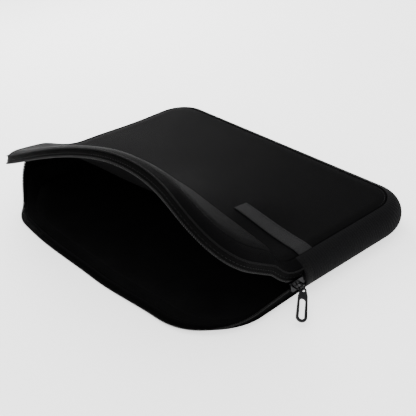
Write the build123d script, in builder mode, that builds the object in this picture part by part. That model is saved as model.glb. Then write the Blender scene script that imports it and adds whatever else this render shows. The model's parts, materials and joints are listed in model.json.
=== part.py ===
"""A padded laptop sleeve with a zipped mouth along one long edge, shown open.

The sleeve lies flat. +X is to its right, the mouth faces -Y and +Z is up. The origin is the centre of
the flat underside. The flap is the part of the top panel in front of the zip's two ends: it is modelled
shut, then turned open about the line through those ends. Millimetres.
"""

import os
from math import acos, asin, cos, degrees, radians, sin, sqrt

from build123d import *

# ---- the whole sleeve
length = 365.0  # along X, over the side walls
depth = 266.0  # along Y, over the walls
height = 34.0  # thickness of the shut sleeve
rear_corner = 40.0  # plan radius at the closed end
front_corner = 66.0  # plan radius at the mouth
mouth_depth = 124.0  # from the mouth's edge back to the zip's ends
open_angle = 52.0  # how far the flap is lifted, degrees

# ---- layers
cover = 0.8  # outer fabric
panel_foam = 4.0
wall_foam = 3.0
lining = 0.6
layer_gap = 0.02  # between two layers of one panel
seam_gap = 0.1  # between a panel's edge and the wall sewn to it
hinge_gap = 0.4  # between the flap and what stays still behind it

# ---- side wall: a round bulge from the underside's seam up to the top panel's seam
bulge = 12.0  # how far the wall stands out beyond its seams
seam_height = 1.0  # how far the seams lie inside the flat faces

# ---- zip
band_angle = 35.5  # from the zip's centre line to the edge of the wall, about the wall's centre, degrees
tape = 0.8  # thickness of the woven tape
coil_gap = 0.8  # from the centre line to a coil
coil_height = 1.7
coil_thickness = 2.4
coil_rounding = 0.5
tape_clearance = 0.05
bead_radius = 0.6  # corded edge of the wall where the tape is sewn on

# ---- slider, with its plates outside and inside the zip
slider_length = 14.0
slider_half_height = 5.0
slider_plate = 1.8
slider_clearance = 0.3
slider_plate_rounding = 3.0
slider_web = 1.0  # thickness of the wedge between the coils
slider_web_length = 8.4
slider_rest_gap = 3.4  # from the flap's hinge line to the parked slider
bail_length = 8.0
bail_radius = 0.7

# ---- wire link and pull
link_radius = 3.2  # to the wire's centre
link_wire = 0.6
pull_eye = 1.5  # radius of the pull's eye
pull_rim = 1.2
pull_width = 9.4
pull_shoulder_width = 8.0
pull_shoulder = 5.0  # from the eye to where the pull is as wide as its shoulders
pull_length = 30.0  # from the link's wire to the pull's end
pull_thickness = 1.4
pull_slot_width = 4.6
pull_slot_length = 19.0
pull_turned = 45.0  # how far the pull points forward of the link, degrees
pull_floor_gap = 0.5  # between the pull's end and the ground when it points straight out

# ---- zip ends
tab_length = 8.0
tab_thickness = 1.0
tab_half_angle = 58.0
stop_length = 2.4
stop_height = 2.4
stop_thickness = 0.8

# ---- label strap
strap_width = 14.0
strap_length = 84.0
strap_thickness = 1.2
strap_rounding = 1.5
strap_setback = 5.0  # from the flap's hinge line to the strap's front edge

# ---- what follows from the sizes
mid = height / 2
hinge_y = -depth / 2 + mouth_depth
half_chord = mid - seam_height
wall_radius = (half_chord**2 + bulge**2) / (2 * bulge)
wall_centre = bulge - wall_radius  # from the panels' edge, outwards
panel_x = length / 2 - bulge
panel_y = depth / 2 - bulge
flap_hinge = Axis((0, hinge_y, height), (1, 0, 0))
band_half = wall_radius * sin(radians(band_angle))
band_edge_x = wall_centre + sqrt(wall_radius**2 - band_half**2)
tape_x = band_edge_x - tape / 2 - tape_clearance


def plan(plane, inset=0.0):
    """The panels' outline: a rectangle with tighter corners at the rear than at the mouth."""
    with BuildSketch(plane) as outline:
        Rectangle(2 * (panel_x - inset), 2 * (panel_y - inset))
        corners = outline.vertices()
        fillet(corners.sort_by(Axis.Y)[:2], front_corner - bulge - inset)
        fillet(outline.vertices().sort_by(Axis.Y)[-2:], rear_corner - bulge - inset)
    return outline.sketch


def panel(base, thickness, rear):
    """One layer of a panel above the plane z = base, cut at the hinge line when rear is True or False."""
    with BuildPart() as layer:
        add(plan(Plane.XY.offset(base)))
        extrude(amount=thickness)
        if rear is not None:
            edge = hinge_y + hinge_gap / 2 if rear else hinge_y - hinge_gap / 2
            split(bisect_by=Plane.XZ.offset(-edge), keep=Keep.BOTTOM if rear else Keep.TOP)
    return layer.part


def wall_path(rear):
    """The panels' edge line: round the rear, or round the mouth, from one zip end to the other."""
    way = 1 if rear else -1
    radius = (rear_corner if rear else front_corner) - bulge
    start = hinge_y + way * hinge_gap / 2
    end = way * panel_y
    bend = end - way * radius
    with BuildLine() as path:
        Line((panel_x, start), (panel_x, bend))
        RadiusArc((panel_x, bend), (panel_x - radius, end), -way * radius)
        Line((panel_x - radius, end), (radius - panel_x, end))
        RadiusArc((radius - panel_x, end), (-panel_x, bend), -way * radius)
        Line((-panel_x, bend), (-panel_x, start))
    return path.line


def wall_plane(rear):
    """The upright plane across the start of a wall's path, x outwards and y up."""
    start = hinge_y + (1 if rear else -1) * hinge_gap / 2
    return Plane(origin=(panel_x, start, mid), x_dir=(1, 0, 0), z_dir=(0, -1, 0))


def wall_layer(outside, thickness, rear, low=None, high=None):
    """A layer of the bulging wall whose outer face has radius outside, kept between two heights from mid."""
    low = -mid if low is None else low
    high = mid if high is None else high
    with BuildPart() as layer:
        with BuildSketch(wall_plane(rear)):
            with Locations((wall_centre, 0)):
                Circle(outside)
                Circle(outside - thickness, mode=Mode.SUBTRACT)
            with Locations((seam_gap, low)):
                Rectangle(2 * bulge, high - low, align=(Align.MIN, Align.MIN), mode=Mode.INTERSECT)
        sweep(path=wall_path(rear))
    return layer.part


def zip_strip(x_centre, width, low, high):
    """A flat strip of the zip round the mouth, between two heights from mid."""
    with BuildPart() as strip:
        with BuildSketch(wall_plane(False)):
            with Locations((x_centre, (low + high) / 2)):
                Rectangle(width, high - low)
        sweep(path=wall_path(False))
    return strip.part


def zip_coil(side):
    """One half of the zip's coil, as the smooth bar that its loops fill; side is 1 above and -1 below."""
    with BuildPart() as coil:
        with BuildSketch(wall_plane(False)):
            with Locations((tape_x, side * (coil_gap + coil_height / 2))):
                RectangleRounded(coil_thickness, coil_height, coil_rounding)
        sweep(path=wall_path(False))
    return coil.part


def lip_bead(side):
    """The corded edge of the wall where the tape is sewn on, just outside the wall."""
    reach = wall_radius + bead_radius + tape_clearance
    angle = asin((band_half + bead_radius / 2) / reach)
    with BuildPart() as bead:
        with BuildSketch(wall_plane(False)):
            with Locations((wall_centre + reach * cos(angle), side * reach * sin(angle))):
                Circle(bead_radius)
        sweep(path=wall_path(False))
    return bead.part


def opened(piece):
    """A piece of the flap turned from shut to open about the flap's hinge line."""
    return piece.rotate(flap_hinge, -open_angle)


parts = {}

# ---- underside: three flat layers, whole
parts["bottom_cover"] = panel(0, cover, None)
parts["bottom_foam"] = panel(cover + layer_gap, panel_foam, None)
parts["bottom_lining"] = panel(cover + panel_foam + 2 * layer_gap, lining, None)

# ---- top panel: the same layers upside down, in a rear half that stays and a flap that lifts
foam_base = height - cover - layer_gap - panel_foam
lining_base = foam_base - layer_gap - lining
parts["top_rear_cover"] = panel(height - cover, cover, True)
parts["top_rear_foam"] = panel(foam_base, panel_foam, True)
parts["top_rear_lining"] = panel(lining_base, lining, True)
parts["flap_cover"] = opened(panel(height - cover, cover, False))
parts["flap_foam"] = opened(panel(foam_base, panel_foam, False))
parts["flap_lining"] = opened(panel(lining_base, lining, False))

# ---- walls: the whole gusset round the rear, and a strip above and below the zip round the mouth
wall_layers = [("cover", cover), ("foam", wall_foam), ("lining", lining)]
outer = wall_radius
for name, thickness in wall_layers:
    parts["gusset_" + name] = wall_layer(outer, thickness, True)
    parts["lower_wall_" + name] = wall_layer(outer, thickness, False, high=-band_half)
    parts["upper_wall_" + name] = opened(wall_layer(outer, thickness, False, low=band_half))
    outer -= thickness + layer_gap

# ---- zip: tape, coil and corded edge on each side of the centre line
tape_low = coil_gap + coil_height + tape_clearance
tape_high = band_half - tape_clearance
parts["lower_zip_tape"] = zip_strip(tape_x, tape, -tape_high, -tape_low)
parts["upper_zip_tape"] = opened(zip_strip(tape_x, tape, tape_low, tape_high))
parts["lower_zip_coil"] = zip_coil(-1)
parts["upper_zip_coil"] = opened(zip_coil(1))
parts["lower_lip_bead"] = lip_bead(-1)
parts["upper_lip_bead"] = opened(lip_bead(1))

# ---- zip ends: a folded tab round each cut end of the gusset, and a metal stop behind the tapes
for side, name in ((1, "right"), (-1, "left")):
    tab_inner = wall_radius + tape_clearance
    tab_start = (side * panel_x, hinge_y + hinge_gap, mid)
    tab_plane = Plane(origin=tab_start, x_dir=(side, 0, 0), z_dir=(0, side, 0))
    with BuildPart() as tab:
        with BuildSketch(tab_plane):
            with BuildLine():
                swing = radians(tab_half_angle)
                centre = wall_centre
                far = tab_inner + tab_thickness
                outer_arc = ThreePointArc(
                    (centre + far * cos(swing), far * sin(swing)),
                    (centre + far, 0),
                    (centre + far * cos(swing), -far * sin(swing)),
                )
                inner_arc = ThreePointArc(
                    (centre + tab_inner * cos(swing), -tab_inner * sin(swing)),
                    (centre + tab_inner, 0),
                    (centre + tab_inner * cos(swing), tab_inner * sin(swing)),
                )
                Line(outer_arc @ 1, inner_arc @ 0)
                Line(inner_arc @ 1, outer_arc @ 0)
            make_face()
        extrude(amount=side * tab_length)
    parts["zip_end_tab_" + name] = tab.part

    stop_x = side * (panel_x + tape_x + coil_thickness / 2 + tape_clearance + stop_thickness / 2)
    stop_y = hinge_y - hinge_gap - stop_length / 2
    with BuildPart() as stop:
        with Locations((stop_x, stop_y, mid - coil_gap)):
            Box(stop_thickness, stop_length, stop_height, align=(Align.CENTER, Align.CENTER, Align.MAX))
    parts["zip_stop_" + name] = stop.part

# ---- label strap, sewn flat on the top panel with its end in the right-hand seam
strap_y = hinge_y + strap_setback + strap_width / 2
with BuildPart() as strap:
    with BuildSketch(Plane.XY.offset(height + layer_gap)):
        with Locations((panel_x - strap_length / 2, strap_y)):
            Rectangle(strap_length, strap_width)
    extrude(amount=strap_thickness)
    fillet(strap.edges().filter_by(Axis.Z), strap_rounding)
parts["label_strap"] = strap.part

# ---- slider: a plate outside the zip, a plate inside it, the web between the coils and the bail
plate_out = panel_x + tape_x + coil_thickness / 2 + slider_clearance
plate_in = panel_x + tape_x - coil_thickness / 2 - slider_clearance
slider_y = hinge_y - slider_rest_gap - slider_length / 2
bail_x = plate_out + slider_plate + link_radius + link_wire + slider_clearance
with BuildPart() as slider:
    for plate_face, outwards in ((plate_out, Align.MIN), (plate_in, Align.MAX)):
        with Locations((plate_face, slider_y, mid)):
            Box(
                slider_plate,
                slider_length,
                2 * slider_half_height,
                align=(outwards, Align.CENTER, Align.CENTER),
            )
    fillet(slider.edges().filter_by(Axis.X), slider_plate_rounding)
    with Locations(((plate_out + plate_in) / 2, slider_y, mid)):
        Box(plate_out - plate_in, slider_web_length, slider_web)
    with BuildLine() as bail_path:
        Polyline(
            (plate_out + slider_plate / 2, slider_y - bail_length / 2, mid),
            (bail_x, slider_y - bail_length / 2, mid),
            (bail_x, slider_y + bail_length / 2, mid),
            (plate_out + slider_plate / 2, slider_y + bail_length / 2, mid),
        )
    with BuildSketch(Plane(origin=bail_path.line @ 0, z_dir=(1, 0, 0))):
        Circle(bail_radius)
    sweep(path=bail_path.line, transition=Transition.ROUND)
parts["slider_body"] = slider.part

# ---- wire link on the bail, leaning out so far that the pull clears the ground however it is turned
drop = mid - pull_floor_gap - pull_thickness / 2
lean = degrees(acos(drop / (link_radius + pull_length)))
out = Vector(sin(radians(lean)), 0, -cos(radians(lean)))
with BuildPart() as link:
    with BuildSketch(Plane(origin=(bail_x + link_radius, slider_y, mid), x_dir=(1, 0, 0), z_dir=(0, 0, 1))):
        Circle(link_wire)
    revolve(axis=Axis((bail_x, slider_y, mid), (0, 1, 0)))
parts["pull_link"] = link.part

# ---- pull: a flat tab with an eye at the top and a long slot, turned forward on the link
pivot = Vector(bail_x, slider_y, mid) + out * link_radius
pull_normal = Vector(cos(radians(lean)), 0, sin(radians(lean)))
pull_way = out * cos(radians(pull_turned)) + Vector(0, -1, 0) * sin(radians(pull_turned))
pull_plane = Plane(origin=pivot - pull_normal * (pull_thickness / 2), x_dir=pull_way, z_dir=pull_normal)
eye_x = pull_eye - link_wire - slider_clearance / 2
tail_x = pull_length - pull_width / 2
neck = pull_eye + pull_rim
shoulder_x = eye_x + pull_shoulder
with BuildPart() as pull:
    with BuildSketch(pull_plane):
        with BuildLine():
            Polyline(
                (eye_x, neck),
                (shoulder_x, pull_shoulder_width / 2),
                (tail_x, pull_width / 2),
                (tail_x, -pull_width / 2),
                (shoulder_x, -pull_shoulder_width / 2),
                (eye_x, -neck),
                close=True,
            )
        make_face()
        with Locations((eye_x, 0)):
            Circle(neck)
        with Locations((tail_x, 0)):
            Circle(pull_width / 2)
        with Locations((eye_x, 0)):
            Circle(pull_eye, mode=Mode.SUBTRACT)
        with Locations((pull_length - pull_slot_length / 2 - (pull_width - pull_slot_width) / 2, 0)):
            SlotOverall(pull_slot_length, pull_slot_width, mode=Mode.SUBTRACT)
    extrude(amount=pull_thickness)
parts["pull_tab"] = pull.part

os.makedirs("parts", exist_ok=True)
for name, piece in parts.items():
    piece.label = name
    export_step(piece, "parts/" + name + ".step")

print(f"zip line {mid:.2f} up, flap hinge at y {hinge_y:.2f}, z {height:.2f}")
print(f"bail at x {bail_x:.2f}, y {slider_y:.2f}; link leans {lean:.1f} degrees from hanging")
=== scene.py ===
# %% [markdown]
# # A padded laptop sleeve, unzipped and gaping
#
# The real sleeve is made flat. Two padded panels are joined by a long strip that runs round their edge: a
# ribbed gusset round the back and sides, and a zip round the mouth. Unzipping it lets the front of the top
# panel lift.
#
# So everything soft here is modelled in the order it is sewn: shut first, flat and easy to measure, and
# then opened by one rule that lifts the flap. The same rule runs backwards when the joint closes, so the
# sleeve shuts cleanly.

# %% The frame
import json
import math

import bpy
from mathutils import Matrix, Vector, noise
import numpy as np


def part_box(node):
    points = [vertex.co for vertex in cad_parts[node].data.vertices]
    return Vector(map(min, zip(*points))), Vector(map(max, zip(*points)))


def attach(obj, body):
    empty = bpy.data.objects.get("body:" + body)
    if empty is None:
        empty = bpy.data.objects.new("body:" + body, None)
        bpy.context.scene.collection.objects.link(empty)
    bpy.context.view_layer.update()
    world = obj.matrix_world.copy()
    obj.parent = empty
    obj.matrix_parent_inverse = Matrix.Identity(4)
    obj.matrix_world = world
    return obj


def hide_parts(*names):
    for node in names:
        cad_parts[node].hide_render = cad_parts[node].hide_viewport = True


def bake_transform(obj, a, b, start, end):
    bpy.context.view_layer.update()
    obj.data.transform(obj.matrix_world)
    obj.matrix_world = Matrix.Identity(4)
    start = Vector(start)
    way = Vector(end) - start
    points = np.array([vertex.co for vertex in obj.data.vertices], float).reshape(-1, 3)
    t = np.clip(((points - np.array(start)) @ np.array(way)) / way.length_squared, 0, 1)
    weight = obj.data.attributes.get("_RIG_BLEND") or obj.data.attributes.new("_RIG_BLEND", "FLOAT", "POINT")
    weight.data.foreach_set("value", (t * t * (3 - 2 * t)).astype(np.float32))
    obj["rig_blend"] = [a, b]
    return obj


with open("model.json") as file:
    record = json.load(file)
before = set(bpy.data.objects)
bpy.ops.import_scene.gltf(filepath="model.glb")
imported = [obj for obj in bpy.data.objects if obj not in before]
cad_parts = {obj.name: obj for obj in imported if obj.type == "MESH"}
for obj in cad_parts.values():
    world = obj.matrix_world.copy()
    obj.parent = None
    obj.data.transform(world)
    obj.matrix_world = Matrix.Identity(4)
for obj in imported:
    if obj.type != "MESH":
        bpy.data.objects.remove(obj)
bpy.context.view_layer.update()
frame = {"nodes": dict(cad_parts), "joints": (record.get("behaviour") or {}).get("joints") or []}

# %% [markdown]
# ## Sizes
#
# The main sizes come from the imported parts. The panels give the outline, the wall gives how far it bulges,
# and the hinge joint gives the line about which the flap lifts; the corner radii and a few small offsets are
# given as numbers.

# %% Sizes from the frame
mm = 0.001
joints = {joint["name"]: joint for joint in frame["joints"]}
panel_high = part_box("bottom_cover")[1]
gusset_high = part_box("gusset_cover")[1]
rear_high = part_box("top_rear_cover")[1]
panel_x = panel_high.x
panel_y = panel_high.y
bulge = gusset_high.x - panel_x
height = rear_high.z
middle = height / 2
hinge_y = joints["mouth_open"]["pos_m"][1]
open_angle = -math.radians(joints["mouth_open"]["range_deg"][0])
front_radius = 54 * mm
rear_radius = 28 * mm
seam_height = 1 * mm
half_chord = middle - seam_height
wall_radius = (half_chord**2 + bulge**2) / (2 * bulge)
wall_centre = bulge - wall_radius
wall_swing = math.asin(half_chord / wall_radius)
band_swing = math.radians(35.5)
tape_inset = 0.45 * mm
zip_out = wall_centre + wall_radius * math.cos(band_swing) - tape_inset
mouth_reach = hinge_y + panel_y
print(f"panels {2 * panel_x:.3f} x {2 * panel_y:.3f} m, wall bulges {bulge:.4f}, hinge at y {hinge_y:.3f}")


# %% [markdown]
# ## Small tools for modelling by hand
#
# Each piece starts from a primitive at its own size. It is cut finer in edit mode, and then its points are
# put in place by a rule. A strip, such as a zip tape, is easiest to make straight and then bend round the
# sleeve, which is what the machinist does too.

# %% Selecting and editing
def only(piece):
    """Makes one object the only selected one, and active."""
    bpy.ops.object.select_all(action="DESELECT")
    piece.select_set(True)
    bpy.context.view_layer.objects.active = piece


def named(name):
    """Names the primitive that was just added, and its mesh."""
    piece = bpy.context.active_object
    piece.name = name
    piece.data.name = name
    return piece


def seat(piece):
    """Leaves the object at the origin, unturned and unscaled, with its place in its mesh."""
    only(piece)
    bpy.ops.object.transform_apply(location=True, rotation=True, scale=True)


def smooth(piece, angle=40):
    """Shades smoothly, but keeps edges sharper than the angle, in degrees, crisp."""
    only(piece)
    bpy.ops.object.shade_smooth_by_angle(angle=math.radians(angle))


def apply_modifier(piece, kind, **settings):
    """Adds a modifier, sets it and applies it."""
    only(piece)
    modifier = piece.modifiers.new(kind.lower(), kind)
    for key, value in settings.items():
        setattr(modifier, key, value)
    bpy.ops.object.modifier_apply(modifier=modifier.name)


def subdivide(piece, levels=1):
    """Rounds a mesh by splitting each face in four."""
    apply_modifier(piece, "SUBSURF", levels=levels, render_levels=levels)


merge_gap = 0.01 * mm


def outward(piece):
    """Merges doubled points and turns every face outwards."""
    only(piece)
    bpy.ops.object.mode_set(mode="EDIT")
    bpy.ops.mesh.select_all(action="SELECT")
    bpy.ops.mesh.remove_doubles(threshold=merge_gap)
    bpy.ops.mesh.normals_make_consistent(inside=False)
    bpy.ops.object.mode_set(mode="OBJECT")


def grid(name, columns, rows):
    """A flat grid from -1 to 1 in x and y."""
    bpy.ops.object.select_all(action="DESELECT")
    bpy.ops.mesh.primitive_grid_add(x_subdivisions=columns, y_subdivisions=rows, size=2)
    return named(name)


def move_points(piece, place):
    """Puts each point where the rule says."""
    for point in piece.data.vertices:
        point.co = place(point.co)
    piece.data.update()


def remember(piece, name, kind, values):
    """Stores a value on every point, which later modifiers carry along."""
    attribute = piece.data.attributes.get(name) or piece.data.attributes.new(name, kind, "POINT")
    for slot, value in zip(attribute.data, values):
        if kind == "FLOAT":
            slot.value = value
        else:
            slot.vector = value


def ease(value):
    """0 below 0, 1 above 1, and a smooth rise between."""
    value = min(1.0, max(0.0, value))
    return value * value * (3 - 2 * value)


# %% [markdown]
# ## The edge that everything is sewn to
#
# The panels' outline is a rectangle with round corners. The mouth's half runs from one zip end round the
# front to the other, and the gusset's half runs round the back. A point of a strip is given by how far
# along the edge it lies, how far out it stands and how high.

# %% The panels' edge
def edge_length(mouth):
    """How long the panels' edge is round the mouth's half, or round the gusset's."""
    radius = front_radius if mouth else rear_radius
    side = (mouth_reach if mouth else panel_y - hinge_y) - radius
    return 2 * side + math.pi * radius + 2 * (panel_x - radius)


def along_edge(distance, mouth):
    """The point of the panels' edge at a distance from the right-hand zip end, and the way out from it."""
    radius = front_radius if mouth else rear_radius
    way = -1 if mouth else 1
    side = (mouth_reach if mouth else panel_y - hinge_y) - radius
    turn = math.pi / 2 * radius
    half = side + turn + panel_x - radius
    mirrored = distance > half
    travel = 2 * half - distance if mirrored else distance
    bend_y = hinge_y + way * side
    if travel <= side:
        spot = Vector((panel_x, hinge_y + way * travel, 0))
        out = Vector((1, 0, 0))
    elif travel <= side + turn:
        swing = (travel - side) / radius
        out = Vector((math.cos(swing), way * math.sin(swing), 0))
        spot = Vector((panel_x - radius, bend_y, 0)) + radius * out
    else:
        spot = Vector((panel_x - radius - (travel - side - turn), way * panel_y, 0))
        out = Vector((0, way, 0))
    if mirrored:
        spot.x = -spot.x
        out.x = -out.x
    return spot, out


bow_depth = 5 * mm
bow_centre = -75 * mm
bow_width = 75 * mm
run_in_depth = 9 * mm
run_in_start = 25 * mm
run_in_width = 110 * mm
left_in_depth = 6 * mm
left_in_start = 110 * mm
left_in_width = 70 * mm


def bowed(place):
    """The mouth's edge bows out left of the middle, runs in towards the right and is drawn in on the left."""
    reach = hinge_y - place.y
    if reach <= 0:
        return place
    bow = bow_depth * math.exp(-(((place.x - bow_centre) / bow_width) ** 2))
    run_in = run_in_depth * ease((place.x - run_in_start) / run_in_width)
    left_in = left_in_depth * ease((-place.x - left_in_start) / left_in_width)
    share = ease(reach / mouth_reach)
    return Vector((place.x + left_in * share, place.y + (run_in - bow) * share, place.z))


def around(distance, out, up, mouth):
    """The place that lies so far along the edge, so far out from it and so high."""
    spot, way = along_edge(distance, mouth)
    place = spot + way * out
    place.z = up
    return bowed(place) if mouth else place


def wall_profile(swing):
    """How far out and how high the wall's outer face is, at an angle above the zip line."""
    return wall_centre + wall_radius * math.cos(swing), middle + wall_radius * math.sin(swing)


mouth_length = edge_length(True)
rear_length = edge_length(False)
print(f"the edge is {mouth_length:.3f} m round the mouth and {rear_length:.3f} m round the back")


# %% [markdown]
# ## How the mouth opens
#
# The flap doesn't swing like a board. It stays sewn down at both zip ends, rises most right of the middle,
# and curves up over the first few centimetres. Every point above the zip turns about the hinge line by its
# own angle, and the share of the whole angle is kept on the point, so that the joint can lay it flat
# again. The lower lip sinks to the ground in the same way, except on the left, where the side is pulled up
# and stands with the flap. The left edge of the whole sleeve is also heaved up a little, which stays when
# it shuts.

# %% The lift
lower_drop = math.radians(6.4)
left_stand = math.radians(21)
left_curl = math.radians(8)
seam_draw = 12 * mm
coil_height = middle - 1.65 * mm
top_rise = 11 * mm
left_rise = 6 * mm
half_width = 180 * mm
right_start = 100 * mm
right_width = 65 * mm
long_ramp = 66 * mm
short_ramp = 32 * mm


def lift_angle(x):
    """How far the open flap is lifted across its width: low on the left, highest right of the middle."""
    part = x / half_width
    return math.radians(46 + 26 * part - 20 * part**2 - 18 * part**3)


def upper_angle(place):
    """The turn of a point of the flap: none at the hinge line, all of it beyond the ramp."""
    reach = hinge_y - place.y
    if reach <= 0:
        return 0.0
    right_side = ease((place.x - right_start) / right_width)
    ramp = long_ramp - (long_ramp - short_ramp) * right_side
    return lift_angle(place.x) * ease(reach / ramp)


left_from = 100 * mm
left_over = 70 * mm
front_from = 68 * mm
front_over = 46 * mm


def left_side(place):
    """1 on the left side of the mouth where the wall stands up, and 0 in the middle, right and front."""
    reach = hinge_y - place.y
    outer = ease((-place.x - left_from) / left_over)
    return outer * (1 - ease((reach - front_from) / front_over))


curl_over = 60 * mm


def lower_angle(place, share):
    """The turn of a point of the underside: share is 0 on the flat panel and 1 at the lower coil."""
    side = left_side(place)
    curl = left_curl * ease((-place.x - left_in_start) / curl_over)
    stand = side * (curl + left_stand * share)
    return stand - (1 - side) * lower_drop * share


crown_edge = 85 * mm
crown_depth = 48 * mm
crown_centre = 60 * mm
crown_width = 105 * mm


def crown(x, y):
    """How far the empty top panel stands above flat, highest behind the open mouth."""
    across = ease((panel_x - abs(x)) / crown_edge)
    behind = math.exp(-(((y - hinge_y) / crown_depth) ** 2))
    to_right = math.exp(-(((x - crown_centre) / crown_width) ** 2))
    return top_rise * across * behind * to_right


heave_from = 10 * mm
heave_over = 150 * mm
heave_centre = -25 * mm
heave_length = 62 * mm


def heave(place):
    """How far the left edge is heaved up: most at the top, nothing on the ground."""
    leftward = ease((-place.x - heave_from) / heave_over)
    along = math.exp(-(((place.y - heave_centre) / heave_length) ** 2))
    return left_rise * leftward * along * min(1.0, max(0.0, place.z / height))


def turned(place, angle):
    """A point turned about the hinge line, up for a positive angle."""
    reach = hinge_y - place.y
    drop = height - place.z
    y = hinge_y - (reach * math.cos(angle) + drop * math.sin(angle))
    z = height + reach * math.sin(angle) - drop * math.cos(angle)
    return Vector((place.x, y, z))


def open_upper(piece):
    """Lifts a finished shut piece with the flap, and blends it over the hinge."""
    angles = [upper_angle(point.co) for point in piece.data.vertices]
    for point in piece.data.vertices:
        point.co.z += crown(point.co.x, point.co.y)
    raise_points(piece, angles)


def open_lower(piece):
    """Lays the lower lip down, or stands it up on the left, and blends it over the hinge."""
    attribute = piece.data.attributes.get("across")
    shares = [slot.value for slot in attribute.data] if attribute else [0.0] * len(piece.data.vertices)
    angles = []
    for point, share in zip(piece.data.vertices, shares):
        in_front = hinge_y > point.co.y
        angles.append(lower_angle(point.co, share) if in_front else 0.0)
    raise_points(piece, angles)


def settle(piece):
    """Gives a finished piece that doesn't lift the heave of the left edge."""
    for point in piece.data.vertices:
        point.co.z += heave(point.co)
    piece.data.update()


def raise_points(piece, angles):
    """Heaves the piece, turns each point by its own angle and keeps that share for the joint."""
    settle(piece)
    for point, angle in zip(piece.data.vertices, angles):
        point.co = turned(point.co, angle)
    piece.data.update()
    start = (0, hinge_y, height)
    end = (0, hinge_y - mouth_reach, height)
    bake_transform(piece, "shell", "flap", start=start, end=end)
    remember(piece, "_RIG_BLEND", "FLOAT", [angle / open_angle for angle in angles])


# %% [markdown]
# ## Finishes
#
# Sums between numbers on a surface are written as Python sums. One class holds an output of a node and
# knows how to add, subtract and multiply it; another holds a material and adds any node by its type.

# %% A material's wiring
class Signal:
    def __init__(self, finish, socket):
        self.finish = finish
        self.socket = socket

    def sum(self, operation, first, second):
        return self.finish.node("ShaderNodeMath", {0: first, 1: second}, operation=operation)

    def __add__(self, other):
        return self.sum("ADD", self, other)

    def __radd__(self, other):
        return self.sum("ADD", other, self)

    def __sub__(self, other):
        return self.sum("SUBTRACT", self, other)

    def __rsub__(self, other):
        return self.sum("SUBTRACT", other, self)

    def __mul__(self, other):
        return self.sum("MULTIPLY", self, other)

    def __rmul__(self, other):
        return self.sum("MULTIPLY", other, self)

    def sine(self):
        return self.finish.node("ShaderNodeMath", {0: self}, operation="SINE")


class Finish:
    """A material and its surface shader, with its fixed values set on the shader's own sockets."""

    def __init__(self, name, **fixed):
        self.material = bpy.data.materials.new(name)
        self.material.use_nodes = True
        self.shader = self.material.node_tree.nodes["Principled BSDF"]
        for key, value in fixed.items():
            self.shader.inputs[key.replace("_", " ")].default_value = value

    def node(self, kind, sockets=None, output=0, **settings):
        made = self.material.node_tree.nodes.new(kind)
        for key, value in settings.items():
            setattr(made, key, value)
        for key, value in (sockets or {}).items():
            self.feed(made.inputs[key], value)
        return Signal(self, made.outputs[output])

    def feed(self, socket, value):
        if isinstance(value, Signal):
            self.material.node_tree.links.new(value.socket, socket)
        else:
            socket.default_value = value

    def drive(self, name, value):
        self.feed(self.shader.inputs[name], value)

    def cloth(self):
        """The point's place on the flat cloth, which the pattern follows when the cloth is bent."""
        return self.node("ShaderNodeAttribute", output=1, attribute_name="cloth")

    def place(self):
        return self.node("ShaderNodeTexCoord", output=3)

    def split(self, vector):
        return [self.node("ShaderNodeSeparateXYZ", {0: vector}, output=axis) for axis in range(3)]

    def noise(self, vector, grain, detail=3.0):
        """Soft noise whose features are about grain metres across, from 0 to 1."""
        sockets = {"Vector": vector, "Scale": 1 / grain, "Detail": detail}
        return self.node("ShaderNodeTexNoise", sockets)

    def tone(self, mask, dark, light):
        """A grey between two tones, by a mask from 0 to 1."""
        sockets = {0: mask, 6: (*dark, 1), 7: (*light, 1)}
        return self.node("ShaderNodeMix", sockets, output=2, data_type="RGBA")

    def bump(self, relief, depth):
        sockets = {"Height": relief, "Distance": depth, "Strength": 1.0}
        self.drive("Normal", self.node("ShaderNodeBump", sockets))


def wave(signal, pitch):
    """A wave from -1 to 1 that repeats each pitch metres."""
    return (signal * (2 * math.pi / pitch)).sine()


# %% [markdown]
# The panels are a fine, close knit with a faint soft sheen. The sheen stays low because the real cloth is
# matt; the knit shows only close up, as rows of tiny loops.

# %% Panel knit
def knit_finish():
    """Rows of fine loops, with cloudy shading and a fuzz of loose fibres."""
    wale = 0.9 * mm
    course = 1.1 * mm
    finish = Finish("outer_knit", Specular_IOR_Level=0.005)
    cloth = finish.cloth()
    x, y, _ = finish.split(cloth)
    rows = wave(y, course)
    loops = wave(x + 0.2 * wale * rows, wale) * 0.5 + rows * 0.35
    cloudy = finish.noise(cloth, 45 * mm)
    fuzz = finish.noise(cloth, 0.5 * mm)
    tones = finish.tone(cloudy * 0.6 + fuzz * 0.4, (0.0019, 0.0019, 0.002), (0.004, 0.004, 0.0042))
    finish.drive("Base Color", tones)
    finish.drive("Roughness", 0.4 + cloudy * 0.12)
    finish.bump(loops + fuzz * 0.8, 0.05 * mm)
    return finish.material


# %% Ribbed gusset
def rib_finish():
    """A coarser yarn that slants across the ribs."""
    yarn_pitch = 1.2 * mm
    finish = Finish("ribbed_knit", Specular_IOR_Level=0.03)
    cloth = finish.cloth()
    x, y, _ = finish.split(cloth)
    yarn = wave(y + x * 0.3, yarn_pitch) * 0.5
    fuzz = finish.noise(cloth, 0.6 * mm)
    finish.drive("Base Color", finish.tone(fuzz, (0.003, 0.003, 0.0032), (0.0075, 0.0075, 0.008)))
    finish.drive("Roughness", 0.62 + fuzz * 0.12)
    finish.bump(yarn + fuzz, 0.07 * mm)
    return finish.material


# %% Brushed lining
def lining_finish():
    """A short brushed pile with large soft patches."""
    finish = Finish("brushed_lining", Specular_IOR_Level=0.012)
    cloth = finish.cloth()
    pile = finish.noise(cloth, 0.7 * mm, 5.0)
    cloudy = finish.noise(cloth, 30 * mm)
    finish.drive("Base Color", finish.tone(cloudy, (0.003, 0.003, 0.0031), (0.0065, 0.0065, 0.0067)))
    finish.drive("Roughness", 0.8 + pile * 0.15)
    finish.bump(pile, 0.12 * mm)
    return finish.material


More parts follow.
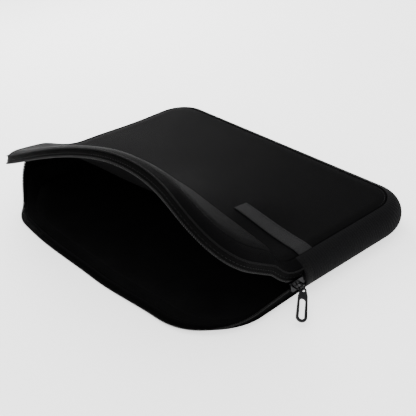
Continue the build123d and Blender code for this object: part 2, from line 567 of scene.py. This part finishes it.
# %% Woven tape and webbing
def woven_finish(name, pitch, light, level):
    """A plain weave: two crossing waves of one pitch."""
    finish = Finish(name, Specular_IOR_Level=level)
    cloth = finish.cloth()
    x, y, _ = finish.split(cloth)
    weave = wave(x + y, pitch) * wave(x - y, pitch)
    fuzz = finish.noise(cloth, 0.5 * mm)
    tones = finish.tone(weave * 0.3 + fuzz * 0.7, (0.003, 0.003, 0.003), (light, light, light * 1.05))
    finish.drive("Base Color", tones)
    finish.drive("Roughness", 0.55 + fuzz * 0.12)
    finish.bump(weave + fuzz * 0.5, 0.12 * mm)
    return finish.material


# %% Nylon coil and thread
def nylon_finish(name, light, roughness):
    """Smooth nylon with a little wear."""
    finish = Finish(name, Specular_IOR_Level=0.12)
    cloth = finish.cloth()
    worn = finish.noise(cloth, 6 * mm)
    finish.drive("Base Color", finish.tone(worn, (0.004, 0.004, 0.004), (light, light, light)))
    finish.drive("Roughness", roughness + worn * 0.12)
    finish.bump(finish.noise(cloth, 0.4 * mm), 0.02 * mm)
    return finish.material


# %% Black nickel
def metal_finish():
    """Dark plated metal, tumbled smooth."""
    finish = Finish("black_nickel", Metallic=1.0)
    place = finish.place()
    tumbled = finish.noise(place, 0.8 * mm, 4.0)
    patches = finish.noise(place, 5 * mm)
    finish.drive("Base Color", finish.tone(patches, (0.006, 0.006, 0.0065), (0.02, 0.02, 0.021)))
    finish.drive("Roughness", 0.22 + tumbled * 0.16)
    finish.bump(tumbled, 0.015 * mm)
    return finish.material


knit = knit_finish()
ribbed = rib_finish()
fleece = lining_finish()
tape_weave = woven_finish("zip_tape_weave", 0.7 * mm, 0.0035, 0.02)
webbing = woven_finish("label_webbing", 1.0 * mm, 0.036, 0.04)
binding = woven_finish("binding_weave", 0.6 * mm, 0.009, 0.04)
coil_nylon = nylon_finish("coil_nylon", 0.02, 0.3)
thread = nylon_finish("sewing_thread", 0.008, 0.45)
nickel = metal_finish()
print("finishes:", [material.name for material in bpy.data.materials])


# %% Dressing a piece
def dress(piece, material):
    """Gives a piece one finish."""
    piece.data.materials.clear()
    piece.data.materials.append(material)


facing_in = -0.1


def line_inside(piece, material):
    """Gives the inner face of a finished, upright strip the lining's finish."""
    piece.data.materials.append(material)
    for face in piece.data.polygons:
        spot = face.center
        outwards = Vector((spot.x, spot.y - hinge_y, 0)).normalized()
        face.material_index = 1 if face.normal.dot(outwards) < facing_in else 0


# %% [markdown]
# ## The padded panels
#
# A panel is a sheet of foam between cloth and lining. It is a fine grid whose corners are pushed in to a
# round outline. Close to its seam the foam is pinched, so the surface dips to the stitching, and that dip
# is what makes the edge look soft. The panel is about as stiff as a mouse mat, so its shape comes from the
# lift and the pinch and not from stuffing.

# %% Panel shape
def to_outline(place, half_x, half_y):
    """Maps a square from -1 to 1 onto the panel, with closer rows near the seams and round corners."""
    x = place.x * (1.25 - 0.25 * place.x**2) * half_x
    y = place.y * (1.25 - 0.25 * place.y**2) * half_y
    radius = front_radius if y < 0 else rear_radius
    over_x = abs(x) - (half_x - radius)
    over_y = abs(y) - (half_y - radius)
    if over_x > 0 and over_y > 0:
        pull = max(over_x, over_y) / math.hypot(over_x, over_y)
        x = math.copysign(half_x - radius + over_x * pull, x)
        y = math.copysign(half_y - radius + over_y * pull, y)
    return Vector((x, y, 0))


def seam_distance(x, y):
    """How far inside the panel's seam a point is."""
    radius = front_radius if y < 0 else rear_radius
    over_x = abs(x) - (panel_x - radius)
    over_y = abs(y) - (panel_y - radius)
    outside = math.hypot(max(over_x, 0), max(over_y, 0))
    return radius - outside - min(max(over_x, over_y), 0)


wide_pinch = 1.3 * mm
wide_pinch_reach = 9 * mm
seam_pinch = 0.5 * mm
seam_pinch_reach = 2 * mm


def pinch(x, y):
    """How far the seam pulls the surface in: a wide soft dip and a narrow one at the stitching."""
    distance = seam_distance(x, y)
    wide = wide_pinch * (1 - ease(distance / wide_pinch_reach))
    return wide + seam_pinch * (1 - ease(distance / seam_pinch_reach))


ripple_height = 0.5 * mm
ripple_length = 70 * mm


def ripple(x, y):
    """Slight unevenness of a soft panel."""
    return ripple_height * noise.noise(Vector((x, y, 0)) / ripple_length)


def draw_in(place):
    """The lower mouth seam lies further in than the upper one."""
    share = ease((hinge_y - place.y) / mouth_reach)
    return Vector((place.x, place.y + seam_draw * share, place.z))


edge_play = 0.05 * mm


def padded_panel(name, columns, rows, surface, thickness):
    """A padded panel whose outer face is given by surface(x, y); thickness is measured inwards."""
    panel = grid(name, columns, rows)
    move_points(panel, lambda place: to_outline(place, panel_x - edge_play, panel_y - edge_play))
    remember(panel, "cloth", "FLOAT_VECTOR", [point.co.copy() for point in panel.data.vertices])
    move_points(panel, lambda place: bowed(Vector((place.x, place.y, surface(place.x, place.y)))))
    apply_modifier(panel, "SOLIDIFY", thickness=thickness, offset=-1)
    subdivide(panel)
    outward(panel)
    smooth(panel, 60)
    return panel


# %% Top panel and its lining
foam_thickness = 4.8 * mm
lining_thickness = 0.6 * mm
top_panel = padded_panel(
    "top_panel", 84, 62, lambda x, y: height - pinch(x, y) + ripple(x, y), foam_thickness
)
dress(top_panel, knit)
open_upper(top_panel)
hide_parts("top_rear_cover", "top_rear_foam", "flap_cover", "flap_foam")

top_lining = padded_panel(
    "top_lining", 60, 44, lambda x, y: height - pinch(x, y) - foam_thickness + ripple(x, y), lining_thickness
)
dress(top_lining, fleece)
open_upper(top_lining)
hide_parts("top_rear_lining", "flap_lining")
print("top panel:", len(top_panel.data.polygons), "faces")

# %% Bottom panel and its lining
bottom_pinch = 0.4


def draw_in_seam(piece):
    """Draws the front of a finished panel in to the lower mouth seam."""
    for point in piece.data.vertices:
        point.co = draw_in(point.co)
    piece.data.update()


bottom_panel = padded_panel(
    "bottom_panel", 60, 44, lambda x, y: foam_thickness - bottom_pinch * pinch(x, y), foam_thickness
)
draw_in_seam(bottom_panel)
dress(bottom_panel, knit)
open_lower(bottom_panel)
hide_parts("bottom_cover", "bottom_foam")

bottom_lining = padded_panel(
    "bottom_lining",
    60,
    44,
    lambda x, y: foam_thickness + lining_thickness - bottom_pinch * pinch(x, y) + 0.5 * ripple(x, y),
    lining_thickness,
)
draw_in_seam(bottom_lining)
dress(bottom_lining, fleece)
open_lower(bottom_lining)
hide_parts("bottom_lining")
print("bottom panel:", len(bottom_panel.data.polygons), "faces")


# %% [markdown]
# ## The walls
#
# The gusset is a ribbed knit band that bulges between the two seams. It is a long flat strip with a ridge
# for each rib, bent round the back. The narrow walls above and below the zip are plain strips of the same
# profile.

# %% Strips bent round the sleeve
def wall_strip(name, columns, rows, mouth, across, relief=None):
    """A strip round the edge; across(share) gives out, up, and the share of the lower lip's drop."""
    length = mouth_length if mouth else rear_length
    strip = grid(name, columns, rows)
    clothes, drops, places = [], [], []
    for point in strip.data.vertices:
        distance = (point.co.x + 1) / 2 * length
        share = (point.co.y + 1) / 2
        out, up, drop = across(share)
        proud = relief(distance, share) if relief else 0.0
        place = around(distance, out + proud, up, mouth)
        if up < middle and mouth:
            pull = ease((hinge_y - place.y) / mouth_reach) * (1 - drop)
            place.y += seam_draw * pull
        places.append(place)
        clothes.append(Vector((distance, share * 2 * half_chord, 0)))
        drops.append(drop)
    remember(strip, "cloth", "FLOAT_VECTOR", clothes)
    remember(strip, "across", "FLOAT", drops)
    for point, place in zip(strip.data.vertices, places):
        point.co = place
    strip.data.update()
    return strip


def thicken(strip, thickness):
    """Gives a strip its thickness inwards, with every face pointing out."""
    middle_face = strip.data.polygons[len(strip.data.polygons) // 2]
    outwards = Vector((middle_face.center.x, middle_face.center.y, 0)).dot(middle_face.normal) > 0
    apply_modifier(strip, "SOLIDIFY", thickness=thickness, offset=-1 if outwards else 1)
    outward(strip)
    smooth(strip, 60)


# %% Ribbed gusset
rib_pitch = 2.6 * mm
rib_depth = 0.45 * mm
rib_slant = 7 * mm
gusset_thickness = 3.8 * mm


def gusset_across(share):
    """From the bottom seam to the top one along the wall."""
    swing = wall_swing * (2 * share - 1)
    out, up = wall_profile(swing)
    return out, up, 0.0


def rib_relief(distance, share):
    """How far the ribs stand out, fading at both seams."""
    edge = ease(share * 9) * ease((1 - share) * 9)
    return rib_depth * edge * math.sin(2 * math.pi * (distance + share * rib_slant) / rib_pitch)


gusset = wall_strip("gusset", int(rear_length / rib_pitch * 6), 16, False, gusset_across, rib_relief)
thicken(gusset, gusset_thickness)
dress(gusset, ribbed)
line_inside(gusset, fleece)
settle(gusset)
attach(gusset, "shell")
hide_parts("gusset_cover", "gusset_foam")
print("gusset:", len(gusset.data.polygons), "faces,", round(rear_length / rib_pitch), "ribs")

# %% [markdown]
# Where the zip's tape meets the gusset, the raw ends are hidden by a short folded band sewn over the wall.
# It is a small patch of cloth with the wall's own curve, so it is made as one and given the same heave as
# its neighbours.

# %% Folded tabs over the two ends of the zip
tab_stand = 0.35 * mm
tab_thickness = 1.2 * mm
tab_rounding = 0.5 * mm
tab_flat_part = 0.7


def end_tab(name):
    """A short folded band over the wall, which hides where the zip tape and the gusset meet."""
    low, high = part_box(name)
    side = math.copysign(1, low.x + high.x)
    tab = grid(name + "_cloth", 10, 24)
    reach = min(high.z - middle, middle - low.z) / (wall_radius + tab_stand)
    swing_limit = min(wall_swing, math.asin(min(1.0, reach)))
    clothes, places = [], []
    for point in tab.data.vertices:
        swing = swing_limit * point.co.y
        out = wall_centre + (wall_radius + tab_stand) * math.cos(swing)
        y = (low.y + high.y) / 2 + point.co.x * (high.y - low.y) / 2
        rounding = tab_rounding * ease((abs(point.co.x) - tab_flat_part) / (1 - tab_flat_part))
        places.append(Vector((side * (panel_x + out - rounding), y, middle + wall_radius * math.sin(swing))))
        clothes.append(Vector((y, swing * wall_radius, 0)))
    remember(tab, "cloth", "FLOAT_VECTOR", clothes)
    for point, place in zip(tab.data.vertices, places):
        point.co = place
    tab.data.update()
    middle_face = tab.data.polygons[len(tab.data.polygons) // 2]
    inwards = -math.copysign(1, side * middle_face.normal.x)
    apply_modifier(tab, "SOLIDIFY", thickness=tab_thickness, offset=inwards)
    outward(tab)
    smooth(tab, 50)
    dress(tab, binding)
    settle(tab)
    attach(tab, "shell")
    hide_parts(name)


end_tab("zip_end_tab_right")
end_tab("zip_end_tab_left")

# %% [markdown]
# Inside, the gusset has a plain lining that hides the foam.

# %% Gusset lining
gusset_padding = 4.0 * mm
lining_reach = 0.93


def gusset_lining_across(share):
    """The same curve as the wall, further in by the padding."""
    swing = wall_swing * (2 * share - 1) * lining_reach
    inner_radius = wall_radius - gusset_padding
    return wall_centre + inner_radius * math.cos(swing), middle + inner_radius * math.sin(swing), 0.0


gusset_lining = wall_strip("gusset_lining", 240, 12, False, gusset_lining_across)
thicken(gusset_lining, lining_thickness)
dress(gusset_lining, fleece)
settle(gusset_lining)
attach(gusset_lining, "shell")
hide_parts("gusset_lining")

# %% Walls above and below the zip
wall_thickness = 3.4 * mm
band_out, band_up = wall_profile(band_swing)
lower_band_share = (height - band_up - seam_height) / (coil_height - seam_height)


def upper_wall_across(share):
    """From the top seam down to the edge of the zip."""
    swing = wall_swing + (band_swing - wall_swing) * share
    out, up = wall_profile(swing)
    return out, up, 0.0


def lower_wall_across(share):
    """From the bottom seam up to the edge of the zip."""
    swing = wall_swing + (band_swing - wall_swing) * share
    out, up = wall_profile(-swing)
    return out, up, lower_band_share * share


upper_wall = wall_strip("upper_wall", 360, 8, True, upper_wall_across)
thicken(upper_wall, wall_thickness)
dress(upper_wall, knit)
line_inside(upper_wall, fleece)
open_upper(upper_wall)
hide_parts("upper_wall_cover", "upper_wall_foam", "upper_wall_lining")

lower_wall = wall_strip("lower_wall", 360, 8, True, lower_wall_across)
thicken(lower_wall, wall_thickness)
dress(lower_wall, knit)
line_inside(lower_wall, fleece)
open_lower(lower_wall)
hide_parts("lower_wall_cover", "lower_wall_foam", "lower_wall_lining")
print("walls:", len(upper_wall.data.polygons), len(lower_wall.data.polygons), "faces")

# %% [markdown]
# ## The zip
#
# Each side of the zip is a woven tape with a nylon coil sewn along its edge. One loop of the coil is a
# small rounded bar, modelled once and copied along the straight tape, and the whole row is then bent round
# the mouth.

# %% Tapes
tape_low = 2.55 * mm
tape_high = 9.6 * mm
tape_thickness = 0.8 * mm


def drop_share(up):
    """The share of the lower lip that a height has: 0 at the bottom seam and 1 at the coil."""
    return min(1.0, max(0.0, (up - seam_height) / (coil_height - seam_height)))


def upper_tape_across(share):
    """The upright band from the wall down to the coil."""
    return zip_out, middle + tape_high + (tape_low - tape_high) * share, 0.0


def lower_tape_across(share):
    """The upright band from the wall up to the coil."""
    up = middle - tape_high + (tape_high - tape_low) * share
    return zip_out, up, drop_share(up)


upper_tape = wall_strip("upper_zip_tape_cloth", 360, 4, True, upper_tape_across)
thicken(upper_tape, tape_thickness)
dress(upper_tape, tape_weave)
open_upper(upper_tape)
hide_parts("upper_zip_tape")

lower_tape = wall_strip("lower_zip_tape_cloth", 360, 4, True, lower_tape_across)
thicken(lower_tape, tape_thickness)
dress(lower_tape, tape_weave)
open_lower(lower_tape)
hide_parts("lower_zip_tape")


# %% One loop, copied along and bent round
def row_of(name, one, count, pitch, start):
    """Copies a small piece along x, joins the copies into one mesh and removes the first."""
    copies = []
    for number in range(count):
        copy = one.copy()
        copy.data = one.data.copy()
        copy.data.transform(Matrix.Translation((start + number * pitch, 0, 0)))
        bpy.context.scene.collection.objects.link(copy)
        copies.append(copy)
    only(copies[0])
    for copy in copies:
        copy.select_set(True)
    bpy.ops.object.join()
    bpy.data.objects.remove(one)
    return named(name)


def bend_round(piece, mouth, lower=False):
    """Takes a straight piece, with x along the edge, y out and z up, and bends it round the sleeve."""
    drops = [drop_share(point.co.z) if lower else 0.0 for point in piece.data.vertices]
    remember(piece, "cloth", "FLOAT_VECTOR", [point.co.copy() for point in piece.data.vertices])
    remember(piece, "across", "FLOAT", drops)
    for point, drop in zip(piece.data.vertices, drops):
        place = around(point.co.x, point.co.y, point.co.z, mouth)
        if lower:
            place.y += seam_draw * ease((hinge_y - place.y) / mouth_reach) * (1 - drop)
        point.co = place
    piece.data.update()


coil_pitch = 1.5 * mm
coil_offset = 1.75 * mm
loop_half_size = (0.62 * mm, 1.1 * mm, 1.0 * mm)


def coil_loop():
    """One loop: a small rounded bar across the edge of the tape."""
    bpy.ops.object.select_all(action="DESELECT")
    bpy.ops.mesh.primitive_uv_sphere_add(segments=8, ring_count=6, radius=1)
    loop = named("loop")
    only(loop)
    bpy.ops.object.mode_set(mode="EDIT")
    bpy.ops.mesh.select_all(action="SELECT")
    bpy.ops.transform.resize(value=loop_half_size)
    bpy.ops.object.mode_set(mode="OBJECT")
    return loop


def coil(name, side):
    """A row of loops round the mouth; side is 1 above the middle and -1 below it."""
    loop = coil_loop()
    loop.data.transform(Matrix.Translation((0, zip_out, middle + side * coil_offset)))
    count = int(mouth_length / coil_pitch) - 2
    row = row_of(name, loop, count, coil_pitch, coil_pitch)
    bend_round(row, True, side < 0)
    smooth(row, 80)
    dress(row, coil_nylon)
    return row


upper_coil = coil("upper_coil_loops", 1)
open_upper(upper_coil)
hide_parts("upper_zip_coil")
lower_coil = coil("lower_coil_loops", -1)
open_lower(lower_coil)
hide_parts("lower_zip_coil")
print("coil:", len(upper_coil.data.polygons), "faces a side")


# %% [markdown]
# ## Corded edges
#
# A thin cord of cloth covers the cut edge of each wall, where the tape is sewn on. It catches the light as
# a fine bright line round the mouth.

# %% Corded edges
cord_radius = 0.75 * mm
cord_stand = 0.25 * mm


def rod(name, length, radius, cuts):
    """A thin straight rod along x, cut into many short pieces so that it bends smoothly."""
    bpy.ops.object.select_all(action="DESELECT")
    along_x = (0, math.pi / 2, 0)
    bpy.ops.mesh.primitive_cylinder_add(vertices=10, radius=radius, depth=length, rotation=along_x)
    piece = named(name)
    seat(piece)
    bpy.ops.object.mode_set(mode="EDIT")
    bpy.ops.mesh.select_all(action="DESELECT")
    bpy.ops.object.mode_set(mode="OBJECT")
    for edge in piece.data.edges:
        ends = [piece.data.vertices[number].co.x for number in edge.vertices]
        edge.select = abs(ends[0] - ends[1]) > length / 2
    bpy.ops.object.mode_set(mode="EDIT")
    bpy.ops.mesh.select_mode(type="EDGE")
    bpy.ops.mesh.subdivide(number_cuts=cuts)
    bpy.ops.object.mode_set(mode="OBJECT")
    piece.data.transform(Matrix.Translation((length / 2, 0, 0)))
    return piece


def bead(name, side):
    """A cord along the edge of the upper wall, side 1, or of the lower one, side -1."""
    piece = rod(name, mouth_length, cord_radius, 360)
    up = middle + side * (band_up - middle)
    piece.data.transform(Matrix.Translation((0, band_out + cord_stand, up)))
    bend_round(piece, True, side < 0)
    smooth(piece, 80)
    dress(piece, binding)
    return piece


upper_bead = bead("upper_lip_cord", 1)
open_upper(upper_bead)
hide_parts("upper_lip_bead")
lower_bead = bead("lower_lip_cord", -1)
open_lower(lower_bead)
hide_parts("lower_lip_bead")


# %% [markdown]
# ## Stitching
#
# Each seam shows a row of short stitches. One stitch is a tiny rounded bar that dips into the cloth at its
# ends.

# %% Stitches
stitch_pitch = 3.2 * mm
stitch_length = 2.3 * mm
thread_radius = 0.22 * mm


def stitch(name):
    """One short rounded stitch along x."""
    bpy.ops.object.select_all(action="DESELECT")
    bpy.ops.mesh.primitive_uv_sphere_add(segments=6, ring_count=4, radius=1)
    piece = named(name)
    only(piece)
    bpy.ops.object.mode_set(mode="EDIT")
    bpy.ops.mesh.select_all(action="SELECT")
    bpy.ops.transform.resize(value=(stitch_length / 2, thread_radius, thread_radius))
    bpy.ops.object.mode_set(mode="OBJECT")
    return piece


def seam_stitches(name, mouth, out, up):
    """A row of stitches round the mouth or the back, so far out from the edge and so high."""
    one = stitch("stitch")
    one.data.transform(Matrix.Translation((0, out, up)))
    length = mouth_length if mouth else rear_length
    row = row_of(name, one, int(length / stitch_pitch) - 1, stitch_pitch, stitch_pitch)
    bend_round(row, mouth)
    smooth(row, 80)
    dress(row, thread)
    return row


seam_inset = -2.6 * mm
stitch_depth = 1.25 * mm
tape_stitch_stand = 0.35 * mm
tape_stitch_rise = 5 * mm
seam_up = height - stitch_depth
tape_stitch_out = zip_out + tape_stitch_stand
tape_stitch_up = middle + tape_stitch_rise
mouth_stitches = seam_stitches("mouth_seam_stitches", True, seam_inset, seam_up)
open_upper(mouth_stitches)
rear_stitches = seam_stitches("rear_seam_stitches", False, seam_inset, seam_up)
settle(rear_stitches)
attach(rear_stitches, "shell")
tape_stitches = seam_stitches("tape_stitches", True, tape_stitch_out, tape_stitch_up)
open_upper(tape_stitches)
print("stitches:", len(mouth_stitches.data.polygons) + len(rear_stitches.data.polygons), "faces")

# %% [markdown]
# ## The label strap
#
# A short length of webbing is sewn flat on the top panel, and its end goes into the right-hand seam. It is
# plain: it carries no words or mark. It follows the panel under it, which stands up a little behind the
# open mouth.

# %% Label strap
strap_low, strap_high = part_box("label_strap")


def panel_surface(x, y):
    """The height of the settled top panel, which the strap follows."""
    return height - pinch(x, y) + ripple(x, y) + crown(x, y)


selvedge_height = 0.25 * mm
selvedge_from = 0.78
selvedge_over = 0.12
strap_lift = 1.25 * mm
strap_thickness = 1.3 * mm
strap_bevel = 0.25 * mm


def strap_piece():
    """A flat length of webbing with slightly raised edges, laid on the panel."""
    strap = grid("strap_webbing", 70, 10)
    centre = (strap_low + strap_high) / 2
    half = (strap_high - strap_low) / 2
    places = []
    for point in strap.data.vertices:
        x = centre.x + point.co.x * half.x
        y = centre.y + point.co.y * half.y
        selvedge = selvedge_height * ease((abs(point.co.y) - selvedge_from) / selvedge_over)
        places.append(Vector((x, y, panel_surface(x, y) + strap_lift + selvedge)))
    for point, place in zip(strap.data.vertices, places):
        point.co = place
    remember(strap, "cloth", "FLOAT_VECTOR", places)
    apply_modifier(strap, "SOLIDIFY", thickness=strap_thickness, offset=-1)
    apply_modifier(strap, "BEVEL", width=strap_bevel, segments=2, limit_method="ANGLE")
    outward(strap)
    smooth(strap, 50)
    return strap


strap = strap_piece()
dress(strap, webbing)
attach(strap, "shell")
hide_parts("label_strap")


strap_stitch_inset = 1.7 * mm
strap_stitch_lift = 1.35 * mm


def strap_stitches():
    """Two rows of stitches along the edges of the strap."""
    one = stitch("stitch")
    count = int((strap_high.x - strap_low.x) / stitch_pitch) - 1
    row = row_of("strap_stitches", one, count, stitch_pitch, strap_low.x + stitch_pitch)
    other = row.copy()
    other.data = row.data.copy()
    bpy.context.scene.collection.objects.link(other)
    for piece, y in ((row, strap_low.y + strap_stitch_inset), (other, strap_high.y - strap_stitch_inset)):
        piece.data.transform(Matrix.Translation((0, y, strap_stitch_lift)))
    only(row)
    other.select_set(True)
    bpy.ops.object.join()
    remember(row, "cloth", "FLOAT_VECTOR", [point.co.copy() for point in row.data.vertices])
    move_points(row, lambda place: place + Vector((0, 0, panel_surface(place.x, place.y))))
    smooth(row, 80)
    return row


label_stitches = strap_stitches()
dress(label_stitches, thread)
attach(label_stitches, "shell")

# %% [markdown]
# ## Zip ends and metal
#
# The stops, slider, link and pull keep the shapes they were designed with, because they have to fit and
# move. They get their own finish here.

# %% Carried-over parts
for name, node in frame["nodes"].items():
    if name in ("slider_body", "pull_link", "pull_tab") or name.startswith("zip_stop"):
        node.data.materials.clear()
        node.data.materials.append(nickel)

# %% [markdown]
# ## Ground, light and camera
#
# A pale floor and large soft lights: a black object is drawn by what it reflects, so the lights are broad
# and low in strength. One at the back left gives the panels a faint sheen, and a small one lifts the left
# edge.

# %% Floor
bpy.ops.object.select_all(action="DESELECT")
bpy.ops.mesh.primitive_plane_add(size=80, location=(0, 0, 0))
floor = named("floor")
seat(floor)
white = (1, 1, 1, 1)
floor_grain = 400 * mm
pale = Finish("pale_floor", Specular_IOR_Level=0.0, Emission_Color=white, Emission_Strength=1.5)
speckle = pale.noise(pale.place(), floor_grain)
pale.drive("Base Color", pale.tone(speckle, (0.93, 0.93, 0.93), (0.95, 0.95, 0.95)))
pale.drive("Roughness", 0.9 + speckle * 0.05)
floor.data.materials.append(pale.material)


# %% Lights
def soft_light(name, place, target, size, watts):
    """A square light that faces its target."""
    data = bpy.data.lights.new(name, "AREA")
    data.size = size
    data.energy = watts
    light = bpy.data.objects.new(name, data)
    bpy.context.scene.collection.objects.link(light)
    light.location = place
    light.rotation_euler = (Vector(target) - Vector(place)).to_track_quat("-Z", "Y").to_euler()


world = bpy.data.worlds.new("studio")
world.use_nodes = True
world.node_tree.nodes["Background"].inputs["Color"].default_value = (1, 1, 1, 1)
world.node_tree.nodes["Background"].inputs["Strength"].default_value = 1.15
bpy.context.scene.world = world
soft_light("overhead", (0.1, 0.2, 1.6), (0, 0, 0), 1.4, 12)
soft_light("back_left", (-1.6, 0.65, 0.68), (-0.1, 0, 0.03), 0.8, 10)
soft_light("left_fill", (-0.7, 0.25, 0.6), (-0.15, 0, 0.03), 0.6, 7)

# %% Camera
camera_place = Vector((559.8, -341.4, 400.5)) * mm
camera_aim = Vector((0, -3, 15)) * mm
camera_tilt = math.radians(-9.61)
back = (camera_place - camera_aim).normalized()
level = Vector((0, 0, 1)).cross(back).normalized()
upright = back.cross(level)
right = level * math.cos(camera_tilt) + upright * math.sin(camera_tilt)
up = upright * math.cos(camera_tilt) - level * math.sin(camera_tilt)
camera_data = bpy.data.cameras.new("camera")
camera_data.lens = 65.04
camera_data.sensor_width = 36
camera_data.shift_x = 0.0572
camera_data.shift_y = -0.0126
camera = bpy.data.objects.new("camera", camera_data)
bpy.context.scene.collection.objects.link(camera)
turn = Matrix((right, up, back)).transposed().to_4x4()
camera.matrix_world = Matrix.Translation(camera_place) @ turn
bpy.context.scene.camera = camera
